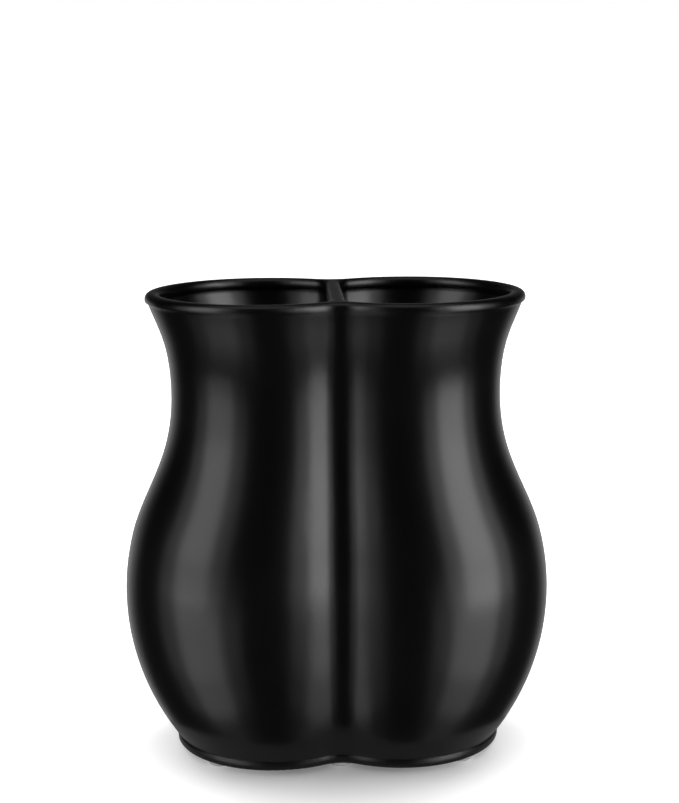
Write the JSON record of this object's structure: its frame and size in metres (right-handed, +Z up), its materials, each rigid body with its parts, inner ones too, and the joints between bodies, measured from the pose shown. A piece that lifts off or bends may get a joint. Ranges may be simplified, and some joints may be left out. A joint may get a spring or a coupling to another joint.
{
  "type": "utensil crock",
  "caption": "Waisted double-lobe utensil crock of satin black glazed ceramic, with an integral divider between its chambers, a rolled lip and clear bumper feet.",
  "frame": {"origin": "on the floor under the middle of the crock, at the level of the bumpers' undersides", "axes": "+Z up, +X across the lobes to the right as seen from the front, +Y to the back"},
  "size_m": [0.1678, 0.1056, 0.183],
  "materials": {
    "glaze": "satin black glaze",
    "bumper": "clear soft plastic"
  },
  "bodies": {
    "root": {"crock_body": "glaze", "bumper_front_left": "bumper", "bumper_front_centre": "bumper", "bumper_front_right": "bumper", "bumper_back_left": "bumper", "bumper_back_centre": "bumper", "bumper_back_right": "bumper"}
  },
  "joints": []
}
